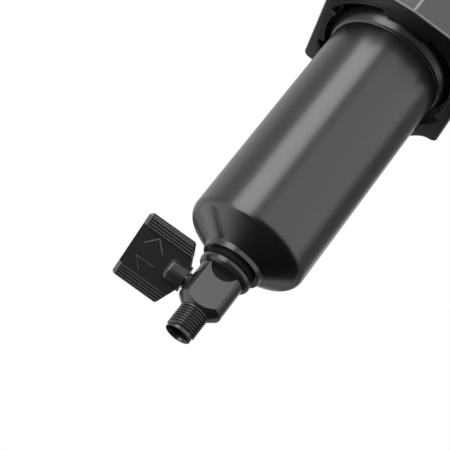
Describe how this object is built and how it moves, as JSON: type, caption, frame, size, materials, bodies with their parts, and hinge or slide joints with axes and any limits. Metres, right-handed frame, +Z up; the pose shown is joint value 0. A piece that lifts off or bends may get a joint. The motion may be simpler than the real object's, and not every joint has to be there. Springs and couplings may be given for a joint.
{
  "type": "compressed air filter",
  "caption": "Inline compressed air filter: cast head with threaded ports, black bayonet bowl holding a coalescing element, and a quarter-turn ball drain valve with a wing handle.",
  "frame": {"origin": "middle of the flat pad on top of the head", "axes": "+Z up along the axis of the bowl, +Y along the flow from inlet to outlet, +X across; the drain handle points to -X"},
  "size_m": [0.0781, 0.0944, 0.2241],
  "materials": {
    "painted_casting": "satin dark grey powder coat on die-cast aluminium",
    "black_anodised": "satin-gloss black coating on drawn aluminium",
    "black_nylon": "moulded glass-filled nylon, fine grain",
    "nitrile_rubber": "moulded, matt",
    "plated_steel": "zinc plated",
    "element_plastic": "moulded",
    "filter_paper": "pleated glass fibre",
    "drain_foam": "open-cell foam",
    "seat_plastic": "turned fluoropolymer",
    "plated_brass": "nickel plated"
  },
  "bodies": {
    "head_assembly": {"head": "painted_casting", "inlet_gauge_plug": "plated_steel", "outlet_gauge_plug": "plated_steel", "inlet_gauge_plug_seal": "nitrile_rubber", "outlet_gauge_plug_seal": "nitrile_rubber", "element_top_cap": "element_plastic", "element_neck_seal": "nitrile_rubber", "element_core": "plated_steel", "element_media": "filter_paper", "element_outer_tube": "plated_steel", "element_drain_sleeve": "drain_foam", "element_bottom_cap": "element_plastic"},
    "bowl_assembly": {"bowl": "black_anodised", "bowl_seal": "nitrile_rubber", "element_support": "element_plastic", "drain_body": "black_nylon", "drain_seal": "nitrile_rubber", "drain_locknut": "plated_brass", "seat_retainer": "seat_plastic", "upper_seat": "seat_plastic", "lower_seat": "seat_plastic", "stem_seal": "nitrile_rubber", "stem_gland": "black_nylon"},
    "drain_lever": {"drain_ball": "plated_brass", "drain_stem": "plated_brass", "drain_handle": "black_nylon"}
  },
  "joints": [
    {"name": "bowl_turn", "type": "hinge", "parent": "head_assembly", "child": "bowl_assembly", "pos_m": [0, 0, -0.056], "axis": [0, 0, -1], "range_deg": [0, 45]},
    {"name": "drain_turn", "type": "hinge", "parent": "bowl_assembly", "child": "drain_lever", "pos_m": [0, 0, -0.20223], "axis": [1, 0, 0], "range_deg": [-35, 55]}
  ]
}
